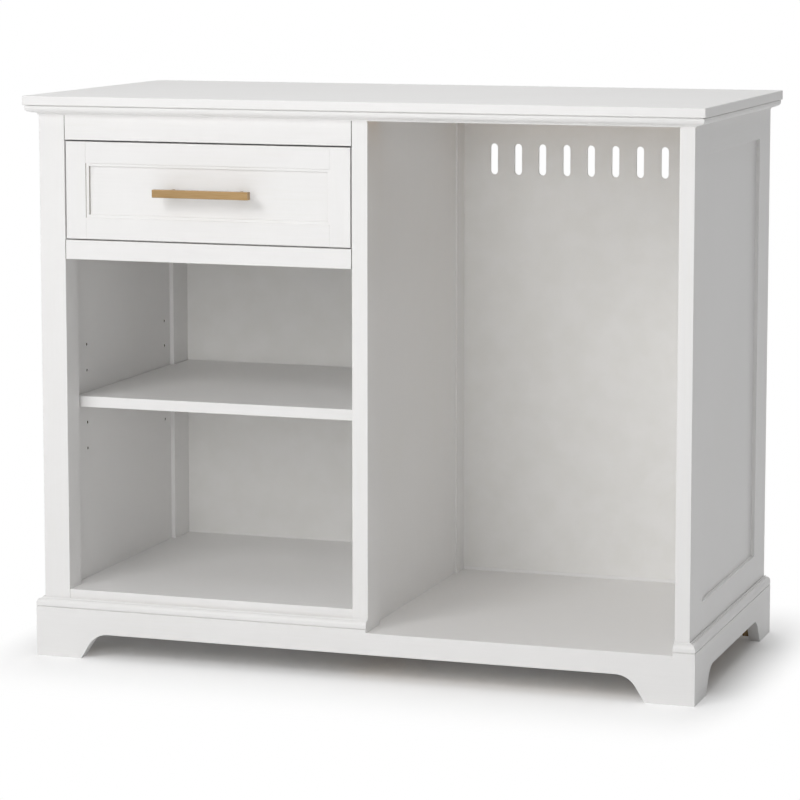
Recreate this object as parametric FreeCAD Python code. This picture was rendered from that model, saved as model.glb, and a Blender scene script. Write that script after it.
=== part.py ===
import FreeCAD, Part
import math
import os
from FreeCAD import Vector

# A painted coffee bar cabinet: a drawer over two open shelves on the left, a tall open
# appliance bay on the right, under one worktop and on a bracket-foot plinth.
# Millimetres. X runs to the right, Y to the back, Z up. While it is built, x = 0 is the middle
# of the cabinet, y = 0 the front face of the carcass and z = 0 the floor.

# Worktop
WIDTH = 1118.0
DEPTH = 559.0
HEIGHT = 914.0
TOP_T = 15.0
OVERHANG = 20.0          # past the carcass at the front and sides, none at the back
TOP_EDGE_R = 1.6

# Posts, stiles and bays
LEFT_POST_W = 44.0
LEFT_RETURN = 46.0       # depth of the post's face towards the shelves
LEFT_BAY = 488.0         # clear width of the drawer and shelf bay
CENTRE_W = 26.0
CENTRE_D = 56.0
RIGHT_POST_W = 24.0
POST_D = 82.0            # depth of the front posts on the outer sides
REAR_POST_D = 80.0
LEFT_REAR_W = 39.0
MID_REAR_W = 20.0
MID_REAR_D = 40.0

# Framed sides and the partition
SIDE_RECESS = 6.0        # panel behind the outer face of its frame
SIDE_PANEL_T = 11.0
LINER_T = 15.0           # drilled board that lines the left side
TONGUE = 8.0             # panel edge let into posts and rails
TONGUE_GAP = 0.5
SIDE_TOP_RAIL_H = 61.0
SIDE_BOTTOM_RAIL_H = 62.0
PARTITION_T = 17.0
EASE = 0.8               # sanded edge of every painted board

# Back
BACK_T = 6.0
BACK_INSET = 10.0        # back panel behind the rear edge of the posts
BACK_LAND = 12.0         # width of the rebate that takes the panel
BACK_TOP_GAP = 2.0
SLOT_W = 13.4
SLOT_L = 53.0
SLOT_PITCH = 42.6
SLOT_COUNT = 10
SLOT_DROP = 109.0        # slot middles below the underside of the worktop

# Crown under the worktop: a bead over a cove
CROWN_H = 15.5
CROWN_OUT = 17.5
CROWN_STEP = 1.5         # flat edge where the crown meets the carcass
COVE_H = 3.7
COVE_R = 3.2
BEAD_OUT = 8.0
BEAD_R = 7.5
BEAD_STEP = 0.8          # step between cove and bead
QUIRK = 1.4              # groove that draws a shadow line beside a moulding

# Plinth with bracket feet, and the moulding on it
PLINTH_H = 82.0
PLINTH_OUT = 11.0
PLINTH_T = 18.0
FOOT_W = 78.0
ARCH_H = 42.0
FOOT_SLOPE = 58.0        # degrees from the floor
ARCH_R = 38.0
BASE_H = 15.0
BASE_OUT = 11.0
BASE_R = 7.0
BASE_STEP = 2.0
BASE_EDGE = 3.2          # flat edge above the round
BLOCK_W = 35.0           # glue blocks inside the plinth corners
BLOCK_LIFT = 2.0         # blocks stop short of the floor

# Decks and shelf
BOARD_T = 18.0
DECK_TOP = 111.0
DECK_SETBACK = 2.0
BAY_STEP = 5.0           # bay floor below the top of the plinth
BEARER_W = 18.0
BEARER_H = 15.0
SHELF_TOP = 421.0
SHELF_FRONT = 58.0
SHELF_GAP = 1.5
SHELF_EDGE_R = 1.2
STRETCHER_D = 60.0

# Shelf supports and their holes
PEG_R = 2.4
HOLE_R = 2.5
HOLE_DEPTH = 9.0
PEG_L = 8.0
PEG_RISE = 10.5          # peg above the underside of the shelf
HOLE_PITCH = 43.3
HOLE_ROWS = (-2, -1, 0, 1, 2)
HOLES_BEHIND_POST = 23.0
HOLES_BEFORE_REAR = 25.0
FRONT_HOLES = POST_D + HOLES_BEHIND_POST
REAR_HOLES = DEPTH - OVERHANG - REAR_POST_D - HOLES_BEFORE_REAR
SUPPORT_T = 1.2
SUPPORT_W = 9.0
SUPPORT_REACH = 10.0

# Face rails of the drawer opening
UPPER_RAIL_H = 55.0
OPENING_H = 161.0
LOWER_RAIL_H = 31.0
FACE_RAIL_T = 20.0
JOINT_W = 1.0            # groove that marks the joint of rail and stile
JOINT_D = 2.5

# Drawer front, a frame with a flat panel
FRONT_GAP = 2.5
FRONT_T = 20.0
MEMBER_W = 34.0
STICK_W = 5.0            # moulded inner edge of the frame
STICK_STEP = 2.5
STICK_BEVEL = 0.4        # slope of the step
STICK_R = 0.8
PANEL_SET = 7.5
PANEL_T = 8.0
SEAM = 0.5               # eased joint line between rails and stiles

# Drawer box on roller slides
BOX_SIDE_T = 12.0
BOX_H = 120.0
BOX_BACK_ROOM = 109.0    # box shallower than the worktop
BOX_D = DEPTH - BOX_BACK_ROOM
BOX_LIFT = 17.0          # box above the lower edge of the opening
BOTTOM_T = 6.0
BOTTOM_LIFT = 8.0
GROOVE = 6.0
SLIDE_GAP = 12.5
SHEET = 1.2
RUN = 0.3                # running clearance of the rollers
ROLLER_R = 8.0
ROLLER_W = 6.0
AXLE_R = 2.0
AXLE_GAP = 0.08
RUNNER_TAIL = 8.0        # runners reach this far past the box
RUNNER_L = BOX_D + RUNNER_TAIL
RUNNER_FRONT = 22.0
RUNNER_MOUTH = 45.0      # open top at the front, where the drawer is dropped in
ROLLER_INSET = 12.0
LIP_GAP = 0.6            # drawer runner's lip short of the cabinet runner
PACKER_EDGE = 10.0

# Bar handle
HANDLE_L = 162.0
HANDLE_H = 12.5
HANDLE_D = 11.0
HANDLE_EDGE_R = 0.6
HANDLE_CC = 116.0
HANDLE_STANDOFF = 24.5
HANDLE_POST_R = 5.0
SCREW_R = 2.0
SCREW_HEAD_R = 4.0
SCREW_HEAD_H = 2.5
SCREW_BITE = 14.0
HOLE_PLAY = 0.1

# Places that follow from the sizes
x_left = -WIDTH / 2 + OVERHANG
x_right = WIDTH / 2 - OVERHANG
y_back = DEPTH - OVERHANG
z_under_top = HEIGHT - TOP_T
x_bay_l = x_left + LEFT_POST_W
x_bay_r = x_bay_l + LEFT_BAY
x_mid_r = x_bay_r + CENTRE_W
x_right_in = x_right - RIGHT_POST_W
frame_t = SIDE_RECESS + SIDE_PANEL_T
x_liner_out = x_left + frame_t
x_liner = x_liner_out + LINER_T
x_partition = x_bay_r + PARTITION_T
x_mid_rear = x_bay_r + MID_REAR_W
x_right_lining = x_right - frame_t
y_rear = y_back - REAR_POST_D
y_panel = y_back - BACK_INSET - BACK_T
y_plinth_in = PLINTH_T - PLINTH_OUT
y_plinth_back = y_back - PLINTH_T
z_side_low = PLINTH_H + SIDE_BOTTOM_RAIL_H
z_side_high = z_under_top - SIDE_TOP_RAIL_H
z_bay_floor = PLINTH_H - BAY_STEP
z_floor_under = z_bay_floor - BOARD_T
z_deck_under = DECK_TOP - BOARD_T
z_shelf_under = SHELF_TOP - BOARD_T
z_peg = z_shelf_under + PEG_RISE
z_open_top = z_under_top - UPPER_RAIL_H
z_open_low = z_open_top - OPENING_H
z_box = z_open_low + BOX_LIFT
y_box_back = FRONT_T + BOX_D
x_box_l = x_bay_l + SLIDE_GAP
x_box_r = x_bay_r - SLIDE_GAP
z_roller = z_box + SHEET + RUN + ROLLER_R
z_lip = z_box + SHEET + 2 * RUN + 2 * ROLLER_R
z_roof = z_lip + SHEET + 2 * RUN
y_front_roller = RUNNER_FRONT + ROLLER_INSET
y_rear_roller = FRONT_T + RUNNER_L - ROLLER_INSET
front_w = LEFT_BAY - 2 * FRONT_GAP
front_h = OPENING_H - 2 * FRONT_GAP
x_front = x_bay_l + FRONT_GAP
z_front = z_open_low + FRONT_GAP
stick_edge = MEMBER_W + STICK_W
x_handle = (x_bay_l + x_bay_r) / 2
z_handle = (z_open_low + z_open_top) / 2
y_bar_back = PANEL_SET - HANDLE_STANDOFF
y_bar_front = y_bar_back - HANDLE_D
CLOSE = 1e-4
UP = Vector(0, 0, 1)


def block(x, y, z):
    """A square board between pairs of faces, each pair in either order."""
    low = [min(pair) for pair in (x, y, z)]
    size = [abs(pair[1] - pair[0]) for pair in (x, y, z)]
    return Part.makeBox(*size, Vector(*low))


def outline(corners, place):
    """Closed wire through corners (u, v) or (u, v, radius); a radius is rounded by a tangent arc."""
    points = [place(c[0], c[1]) for c in corners]
    radii = [c[2] if len(c) > 2 else 0.0 for c in corners]
    starts, ends, arcs = [], [], []
    for i, point in enumerate(points):
        inward = (point - points[i - 1]).normalize()
        onward = (points[(i + 1) % len(points)] - point).normalize()
        half_turn = inward.getAngle(onward) / 2
        reach = radii[i] * math.tan(half_turn)
        starts.append(point - inward * reach)
        ends.append(point + onward * reach)
        if radii[i] > 0:
            to_centre = (onward - inward).normalize()
            middle = point + to_centre * (radii[i] / math.cos(half_turn) - radii[i])
            arcs.append(Part.Arc(starts[i], middle, ends[i]).toShape())
        else:
            arcs.append(None)
    edges = []
    for i, arc in enumerate(arcs):
        if arc:
            edges.append(arc)
        following = starts[(i + 1) % len(points)]
        if (following - ends[i]).Length > CLOSE:
            edges.append(Part.LineSegment(ends[i], following).toShape())
    return Part.Wire(edges)


def plate(corners, place, run):
    """A flat outline pushed through the vector run."""
    return Part.Face(outline(corners, place)).extrude(run)


def plan(z):
    return lambda x, y: Vector(x, y, z)


def front_view(y):
    return lambda x, z: Vector(x, y, z)


def side_view(x):
    return lambda y, z: Vector(x, y, z)


def edges_where(shape, test):
    return [e for e in shape.Edges if all(test(v.Point) for v in e.Vertexes)]


def eased(shape, test, radius=EASE):
    """Round over the edges whose ends all pass the test."""
    return shape.makeFillet(radius, edges_where(shape, test))


def chamfered(shape, test):
    """Take the sharp arris off the edges whose ends all pass the test."""
    return shape.makeChamfer(EASE, edges_where(shape, test))


def at(value, target):
    return abs(value - target) < CLOSE


def face_board(x, y, z):
    """A board of the front, with its front edges sanded round."""
    return eased(block(x, y, z), lambda p: at(p.y, min(y)))


def rod(radius, start, end):
    return Part.makeCylinder(radius, (end - start).Length, start, end - start)


# Worktop and crown

def top_slab():
    slab = block((-WIDTH / 2, WIDTH / 2), (-OVERHANG, y_back), (z_under_top, HEIGHT))
    return eased(slab, lambda p: p.y < y_back - CLOSE or at(p.z, HEIGHT), TOP_EDGE_R)


def mitred(profile, out, side, ends):
    """A moulding on one face of the carcass: profile (out, z), cut to its mitred plan.

    side is front, left or right; ends are the run's two ends on the carcass face, and an end
    that lies on a front corner of the carcass is mitred there.
    """
    low, high = ends
    if side == "front":
        cut_l = out if at(low, x_left) else 0.0
        cut_r = out if at(high, x_right) else 0.0
        bar = plate([(-p[0], *p[1:]) for p in profile], side_view(low - out),
                    Vector(high - low + 2 * out, 0, 0))
        corners = [(low, 0), (high, 0), (high + cut_r, -out), (low - cut_l, -out)]
    else:
        hand = -1 if side == "left" else 1
        edge = x_left if side == "left" else x_right
        bar = plate([(edge + hand * p[0], *p[1:]) for p in profile], front_view(low - out),
                    Vector(0, high - low + out, 0))
        corners = [(edge, low), (edge, high), (edge + hand * out, high), (edge + hand * out, low - out)]
    return bar.common(plate(corners, plan(0), UP * HEIGHT))


def crown_profile():
    low = z_under_top - CROWN_H
    z_cove = low + COVE_H
    z_bead = z_cove + BEAD_STEP
    z_quirk = z_under_top - QUIRK
    x_bead = CROWN_OUT - BEAD_OUT
    x_quirk = CROWN_OUT - 2 * QUIRK
    return [(0, low), (CROWN_STEP, low), (CROWN_STEP, z_cove, COVE_R), (x_bead, z_cove),
            (x_bead, z_bead), (CROWN_OUT, z_bead, BEAD_R), (CROWN_OUT, z_quirk),
            (x_quirk, z_quirk), (x_quirk, z_under_top), (0, z_under_top)]


def base_profile():
    high = PLINTH_H + BASE_H
    z_quirk = PLINTH_H + QUIRK
    z_round = high - BASE_STEP
    x_quirk = BASE_OUT - 2 * QUIRK
    return [(0, PLINTH_H), (x_quirk, PLINTH_H), (x_quirk, z_quirk), (BASE_OUT, z_quirk),
            (BASE_OUT, z_round, BASE_R), (BASE_EDGE, z_round), (BASE_EDGE, high), (QUIRK, high),
            (QUIRK, high - QUIRK), (0, high - QUIRK)]


def crown(side, ends):
    return mitred(crown_profile(), CROWN_OUT, side, ends)


def base_moulding(side, ends):
    return mitred(base_profile(), BASE_OUT, side, ends)


# Posts, rails and panels of the sides

def side_panel_box(hand, slack):
    """The panel of one side, or with slack zero the pocket in its frame."""
    x_out = x_left + SIDE_RECESS if hand < 0 else x_right - SIDE_RECESS
    edge = TONGUE - slack
    return block((x_out, x_out - hand * SIDE_PANEL_T), (POST_D - edge, y_rear + edge),
                 (z_side_low - edge, z_side_high + edge))


def left_front_post():
    section = [(x_left, 0), (x_bay_l, 0), (x_bay_l, LEFT_RETURN), (x_liner, LEFT_RETURN),
               (x_liner, POST_D), (x_left, POST_D)]
    post = plate(section, plan(PLINTH_H), UP * (z_under_top - PLINTH_H))
    return eased(post, lambda p: at(p.y, 0)).cut(side_panel_box(-1, 0))


def right_front_post():
    post = face_board((x_right_in, x_right), (0, POST_D), (PLINTH_H, z_under_top))
    return post.cut(side_panel_box(1, 0))


def rear_post(hand, width):
    """A rear corner post with the rebate that takes the back panel."""
    edge = x_left if hand < 0 else x_right
    inner = edge - hand * width
    post = block((edge, inner), (y_rear, y_back), (PLINTH_H, z_under_top))
    rebate = block((inner, inner + hand * BACK_LAND), (y_panel, y_back), (PLINTH_H, z_under_top))
    post = eased(post.cut(rebate), lambda p: at(p.x, inner) and at(p.y, y_rear))
    return post.cut(side_panel_box(hand, 0))


def side_rail(hand, z):
    edge = x_left if hand < 0 else x_right
    rail = block((edge, edge - hand * frame_t), (POST_D, y_rear), z)
    return eased(rail, lambda p: at(p.x, edge)).cut(side_panel_box(hand, 0))


def support_places():
    """Where the shelf supports stand: wall face, the way into the bay, and depth."""
    return [(wall, way, y) for wall, way in ((x_liner, 1), (x_bay_r, -1))
            for y in (FRONT_HOLES, REAR_HOLES)]


def drilled(board, wall):
    """Two columns of peg holes in the face of a board."""
    for place, way, y in support_places():
        if place == wall:
            for row in HOLE_ROWS:
                mouth = Vector(wall, y, z_peg + row * HOLE_PITCH)
                board = board.cut(rod(HOLE_R, mouth, mouth - Vector(way * HOLE_DEPTH, 0, 0)))
    return board


def left_inner_panel():
    board = block((x_liner_out, x_liner), (POST_D, y_rear), (PLINTH_H, z_under_top))
    return drilled(board, x_liner)


def partition_panel():
    board = block((x_bay_r, x_partition), (CENTRE_D, y_panel - MID_REAR_D), (z_bay_floor, z_under_top))
    return drilled(board, x_bay_r)


def centre_stile():
    """Stands on the bay floor and is notched over the back of the plinth front."""
    stile = face_board((x_bay_r, x_mid_r), (0, CENTRE_D), (z_bay_floor, z_under_top))
    return stile.cut(block((x_bay_r, x_mid_r), (0, y_plinth_in), (z_bay_floor, PLINTH_H)))


def face_rail(z):
    """A rail of the drawer opening; a fine groove at each end draws its joint with the stile."""
    rail = face_board((x_bay_l, x_bay_r), (0, FACE_RAIL_T), z)
    for x in ((x_bay_l, x_bay_l + JOINT_W), (x_bay_r - JOINT_W, x_bay_r)):
        rail = rail.cut(block(x, (0, JOINT_D), z))
    return rail


def top_stretchers():
    z = (z_under_top - CROWN_H, z_under_top)
    rear = (y_panel - STRETCHER_D, y_panel)
    x_rear_l = x_left + LEFT_REAR_W
    bay_front = block((x_mid_r, x_right_in), (0, STRETCHER_D), z)
    bay_rear = block((x_mid_rear, x_right_in), rear, z)
    drawer_rear = block((x_rear_l, x_bay_r), rear, z)
    return Part.makeCompound([bay_front, bay_rear, drawer_rear])


# Back panels

def back_panel(x):
    return block(x, (y_panel, y_panel + BACK_T), (PLINTH_H, z_under_top - BACK_TOP_GAP))


def vented_back_panel():
    """Upright round-ended slots in one row let warm air out of the bay."""
    panel = back_panel(((x_bay_r + x_mid_rear) / 2, x_right_in + BACK_LAND))
    middle = (x_bay_r + x_right_lining) / 2
    z_low = z_under_top - SLOT_DROP - SLOT_L / 2
    for i in range(SLOT_COUNT):
        x0 = middle + (i - (SLOT_COUNT - 1) / 2) * SLOT_PITCH - SLOT_W / 2
        x1 = x0 + SLOT_W
        r = SLOT_W / 2
        corners = [(x0, z_low, r), (x1, z_low, r), (x1, z_low + SLOT_L, r), (x0, z_low + SLOT_L, r)]
        panel = panel.cut(plate(corners, front_view(y_panel), Vector(0, BACK_T, 0)))
    return panel


# Plinth

def arch(low, high, top):
    """Outline of a plinth board between two ends: bracket feet and the arch between them."""
    run = ARCH_H / math.tan(math.radians(FOOT_SLOPE))
    foot_l = low + FOOT_W
    foot_r = high - FOOT_W
    return [(low, 0), (foot_l, 0), (foot_l + run, ARCH_H, ARCH_R), (foot_r - run, ARCH_H, ARCH_R),
            (foot_r, 0), (high, 0), (high, top), (low, top)]


def plinth_front():
    low, high = x_left - PLINTH_OUT, x_right + PLINTH_OUT
    board = plate(arch(low, high, PLINTH_H), front_view(-PLINTH_OUT), Vector(0, PLINTH_T, 0))
    mitre = [(low, -PLINTH_OUT), (high, -PLINTH_OUT), (high - PLINTH_T, y_plinth_in),
             (low + PLINTH_T, y_plinth_in)]
    board = board.common(plate(mitre, plan(0), UP * PLINTH_H))
    sill = block((x_mid_r, x_right_in), (-PLINTH_OUT, y_plinth_in), (z_bay_floor, PLINTH_H))
    return chamfered(board.cut(sill), lambda p: at(p.y, -PLINTH_OUT) and p.z > z_bay_floor - CLOSE)


def plinth_side(hand):
    edge = x_left - PLINTH_OUT if hand < 0 else x_right + PLINTH_OUT
    inner = edge - hand * PLINTH_T
    board = plate(arch(-PLINTH_OUT, y_back, PLINTH_H), side_view(edge), Vector(-hand * PLINTH_T, 0, 0))
    mitre = [(edge, -PLINTH_OUT), (edge, y_back), (inner, y_back), (inner, y_plinth_in)]
    board = board.common(plate(mitre, plan(0), UP * PLINTH_H))
    return chamfered(board, lambda p: at(p.x, edge) and at(p.z, PLINTH_H))


def plinth_back():
    low, high = x_left - PLINTH_OUT + PLINTH_T, x_right + PLINTH_OUT - PLINTH_T
    return plate(arch(low, high, PLINTH_H), front_view(y_plinth_back), Vector(0, PLINTH_T, 0))


def plinth_blocks():
    """Glue blocks that tie the plinth corners and carry the posts."""
    x_in_l = x_left - PLINTH_OUT + PLINTH_T
    x_in_r = x_right + PLINTH_OUT - PLINTH_T
    blocks = []
    for x in ((x_in_l, x_in_l + BLOCK_W), (x_right_in, x_in_r)):
        for y in ((y_plinth_in, y_plinth_in + BLOCK_W), (y_plinth_back - BLOCK_W, y_plinth_back)):
            blocks.append(block(x, y, (BLOCK_LIFT, PLINTH_H)))
    return Part.makeCompound(blocks)


# Decks, bearers and shelf

def left_deck():
    rear_x = x_left + LEFT_REAR_W
    corners = [(x_bay_l, DECK_SETBACK), (x_bay_r, DECK_SETBACK), (x_bay_r, y_panel), (rear_x, y_panel),
               (rear_x, y_rear), (x_liner, y_rear), (x_liner, LEFT_RETURN), (x_bay_l, LEFT_RETURN)]
    deck = plate(corners, plan(z_deck_under), UP * BOARD_T)
    return eased(deck, lambda p: at(p.y, DECK_SETBACK) and at(p.z, DECK_TOP))


def deck_rail(y):
    """A rail on the plinth that carries one edge of the deck."""
    rear_x = x_left + LEFT_REAR_W
    x_start = x_bay_l if y[0] < y_rear else rear_x
    return block((x_start, x_bay_r), y, (PLINTH_H, z_deck_under))


def bay_floor():
    corners = [(x_bay_r, y_plinth_in), (x_right_in, y_plinth_in), (x_right_in, POST_D),
               (x_right_lining, POST_D), (x_right_lining, y_rear), (x_right_in, y_rear),
               (x_right_in, y_plinth_back), (x_bay_r, y_plinth_back)]
    return plate(corners, plan(z_floor_under), UP * BOARD_T)


def floor_bearers():
    z = (z_floor_under - BEARER_H, z_floor_under)
    y = (y_plinth_in + BEARER_W, y_plinth_back - BEARER_W)
    return Part.makeCompound([
        block((x_bay_r, x_right_in), (y_plinth_in, y[0]), z),
        block((x_bay_r, x_right_in), (y[1], y_plinth_back), z),
        block((x_bay_r, x_bay_r + BEARER_W), y, z),
        block((x_right_in - BEARER_W, x_right_in), y, z),
    ])


def adjustable_shelf():
    """Notched round the rear post, so that it reaches the back panel."""
    low, high = x_liner + SHELF_GAP, x_bay_r - SHELF_GAP
    post_x = x_left + LEFT_REAR_W + SHELF_GAP
    corners = [(low, SHELF_FRONT), (high, SHELF_FRONT), (high, y_panel - SHELF_GAP),
               (post_x, y_panel - SHELF_GAP), (post_x, y_rear - SHELF_GAP), (low, y_rear - SHELF_GAP)]
    shelf = plate(corners, plan(z_shelf_under), UP * BOARD_T)
    return eased(shelf, lambda p: at(p.y, SHELF_FRONT), SHELF_EDGE_R)


def shelf_supports():
    """Pressed angles: a peg in the wall, a plate beside the shelf's end, a ledge under it."""
    supports = []
    for wall, way, y in support_places():
        width = (y - SUPPORT_W / 2, y + SUPPORT_W / 2)
        upright = block((wall, wall + way * SUPPORT_T), width, (z_shelf_under, z_peg + SUPPORT_W / 2))
        ledge = block((wall, wall + way * SUPPORT_REACH), width, (z_shelf_under - SUPPORT_T, z_shelf_under))
        mouth = Vector(wall, y, z_peg)
        peg = rod(PEG_R, mouth - Vector(way * PEG_L, 0, 0), mouth + Vector(way * SUPPORT_T, 0, 0))
        supports.append(upright.fuse([ledge, peg]).removeSplitter())
    return Part.makeCompound(supports)


# Drawer front, joined by cope and stick

def frame_profile():
    """Section of a frame member from its outer edge: stepped moulded edge, then the panel groove."""
    groove_back = PANEL_SET + PANEL_T
    return [(0, 0), (MEMBER_W, 0), (MEMBER_W + STICK_BEVEL, STICK_STEP), (stick_edge, STICK_STEP, STICK_R),
            (stick_edge, PANEL_SET), (MEMBER_W, PANEL_SET), (MEMBER_W, groove_back),
            (stick_edge, groove_back), (stick_edge, FRONT_T), (0, FRONT_T)]


def front_stile(hand):
    """Runs the full height; its moulded edge is mitred into those of the rails."""
    edge = x_front if hand < 0 else x_front + front_w
    bar = plate([(edge - hand * p[0], *p[1:]) for p in frame_profile()], plan(z_front), UP * front_h)
    top = z_front + front_h
    corners = [(0, z_front), (MEMBER_W, z_front), (MEMBER_W, z_front + MEMBER_W),
               (stick_edge, z_front + stick_edge), (stick_edge, top - stick_edge),
               (MEMBER_W, top - MEMBER_W), (MEMBER_W, top), (0, top)]
    corners = [(edge - hand * u, z) for u, z in corners]
    stile = bar.common(plate(corners, front_view(0), Vector(0, FRONT_T, 0)))
    return eased(stile, lambda p: at(p.y, 0) and at(p.x, edge))


def front_rail(hand):
    """Fits between the stiles; the joint lines show as fine seams."""
    edge = z_front if hand < 0 else z_front + front_h
    low, high = x_front + MEMBER_W, x_front + front_w - MEMBER_W
    bar = plate([(p[1], edge - hand * p[0], *p[2:]) for p in frame_profile()], side_view(x_front),
                Vector(front_w, 0, 0))
    corners = [(low, 0), (high, 0), (high, MEMBER_W), (high - STICK_W, stick_edge),
               (low + STICK_W, stick_edge), (low, MEMBER_W)]
    corners = [(x, edge - hand * u) for x, u in corners]
    rail = bar.common(plate(corners, front_view(0), Vector(0, FRONT_T, 0)))
    rail = eased(rail, lambda p: at(p.y, 0) and at(p.z, edge))
    ends = [e for e in rail.Edges
            if all(at(v.Point.y, 0) for v in e.Vertexes) and at(e.Vertexes[0].X, e.Vertexes[-1].X)]
    return rail.makeChamfer(SEAM, ends)


def handle_posts_at():
    return [Vector(x_handle + side * HANDLE_CC / 2, 0, z_handle) for side in (-1, 1)]


def bored(shape, radius, y_start, y_end):
    """Holes for the two handle screws."""
    for place in handle_posts_at():
        start = Vector(place.x, y_start, place.z)
        end = Vector(place.x, y_end, place.z)
        shape = shape.cut(rod(radius, start, end))
    return shape


def drawer_front_panel():
    edge = MEMBER_W + TONGUE_GAP
    panel = block((x_front + edge, x_front + front_w - edge), (PANEL_SET, PANEL_SET + PANEL_T),
                  (z_front + edge, z_front + front_h - edge))
    return bored(panel, SCREW_R + HOLE_PLAY, PANEL_SET, PANEL_SET + PANEL_T)


# Drawer box

def bottom_box(slack):
    """The drawer bottom, or with slack zero the groove round the box."""
    edge = BOX_SIDE_T - GROOVE + slack
    return block((x_box_l + edge, x_box_r - edge), (FRONT_T + edge, y_box_back - edge),
                 (z_box + BOTTOM_LIFT, z_box + BOTTOM_LIFT + BOTTOM_T))


def box_side(hand):
    edge = x_box_l if hand < 0 else x_box_r
    side = block((edge, edge - hand * BOX_SIDE_T), (FRONT_T, y_box_back), (z_box, z_box + BOX_H))
    side = eased(side, lambda p: at(p.z, z_box + BOX_H))
    return side.cut(bottom_box(0))


def box_end(y):
    end = block((x_box_l + BOX_SIDE_T, x_box_r - BOX_SIDE_T), y, (z_box, z_box + BOX_H))
    return end.cut(bottom_box(0))


def box_front():
    end = box_end((FRONT_T, FRONT_T + BOX_SIDE_T))
    return bored(end, SCREW_R + HOLE_PLAY, FRONT_T, FRONT_T + BOX_SIDE_T)


# Roller slides

def across(hand, near, far):
    """A span of the slide gap on one side, measured from the cabinet wall."""
    wall = x_bay_l if hand < 0 else x_bay_r
    return (wall - hand * near, wall - hand * far)


def roller_lane():
    middle = SLIDE_GAP / 2
    return middle - ROLLER_W / 2, middle + ROLLER_W / 2


def slide_axle(hand, start, end, y):
    x = across(hand, start, end)
    return rod(AXLE_R, Vector(x[0], y, z_roller), Vector(x[1], y, z_roller))


def cabinet_runner(hand):
    """A channel on the wall, with its roof cut away at the front and an axle for its roller."""
    y = (RUNNER_FRONT, RUNNER_FRONT + RUNNER_L)
    depth = SLIDE_GAP - 2 * SHEET
    roof_top = z_roof + SHEET
    web = block(across(hand, 0, SHEET), y, (z_box, roof_top))
    floor = block(across(hand, 0, depth), y, (z_box, z_box + SHEET))
    roof = block(across(hand, 0, depth), (y[0] + RUNNER_MOUTH, y[1]), (z_roof, roof_top))
    axle = slide_axle(hand, 0, roller_lane()[1] + SHEET, y_front_roller)
    return web.fuse([floor, roof, axle]).removeSplitter()


def drawer_runner(hand):
    """An angle under the box side, with a lip that rides on the front roller."""
    y = (FRONT_T, FRONT_T + RUNNER_L)
    top = z_lip + SHEET
    web = block(across(hand, SLIDE_GAP - SHEET, SLIDE_GAP), y, (z_box - SHEET, top))
    foot = block(across(hand, SLIDE_GAP - SHEET, SLIDE_GAP + BOX_SIDE_T), y, (z_box - SHEET, z_box))
    lip = block(across(hand, SHEET + LIP_GAP, SLIDE_GAP), y, (z_lip, top))
    axle = slide_axle(hand, roller_lane()[0] - SHEET, SLIDE_GAP, y_rear_roller)
    return web.fuse([foot, lip, axle]).removeSplitter()


def rollers(y):
    """The left and right rollers on one line."""
    wheels = []
    for hand in (-1, 1):
        x = across(hand, *roller_lane())
        start, end = Vector(x[0], y, z_roller), Vector(x[1], y, z_roller)
        wheels.append(rod(ROLLER_R, start, end).cut(rod(AXLE_R + AXLE_GAP, start, end)))
    return Part.makeCompound(wheels)


def runner_packer():
    """Brings the left runner out to the edge of the opening."""
    z = (z_box - PACKER_EDGE, z_roof + SHEET + PACKER_EDGE)
    return block((x_liner, x_bay_l), (LEFT_RETURN, y_rear), z)


# Handle

def handle_bar():
    half = HANDLE_L / 2
    bar = block((x_handle - half, x_handle + half), (y_bar_front, y_bar_back),
                (z_handle - HANDLE_H / 2, z_handle + HANDLE_H / 2))
    return bar.makeFillet(HANDLE_EDGE_R, [e for e in bar.Edges if at(e.Length, HANDLE_L)])


def handle_posts():
    posts = [rod(HANDLE_POST_R, Vector(p.x, y_bar_back, p.z), Vector(p.x, PANEL_SET, p.z))
             for p in handle_posts_at()]
    return bored(Part.makeCompound(posts), SCREW_R + HOLE_PLAY, PANEL_SET - SCREW_BITE, PANEL_SET)


def handle_screws():
    """Screws from inside the drawer, through the box front and the panel into the posts."""
    y_head = FRONT_T + BOX_SIDE_T
    screws = []
    for p in handle_posts_at():
        head = rod(SCREW_HEAD_R, Vector(p.x, y_head, p.z), Vector(p.x, y_head + SCREW_HEAD_H, p.z))
        shank = rod(SCREW_R, Vector(p.x, PANEL_SET - SCREW_BITE, p.z), Vector(p.x, y_head, p.z))
        screws.append(head.fuse(shank).removeSplitter())
    return Part.makeCompound(screws)


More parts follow.
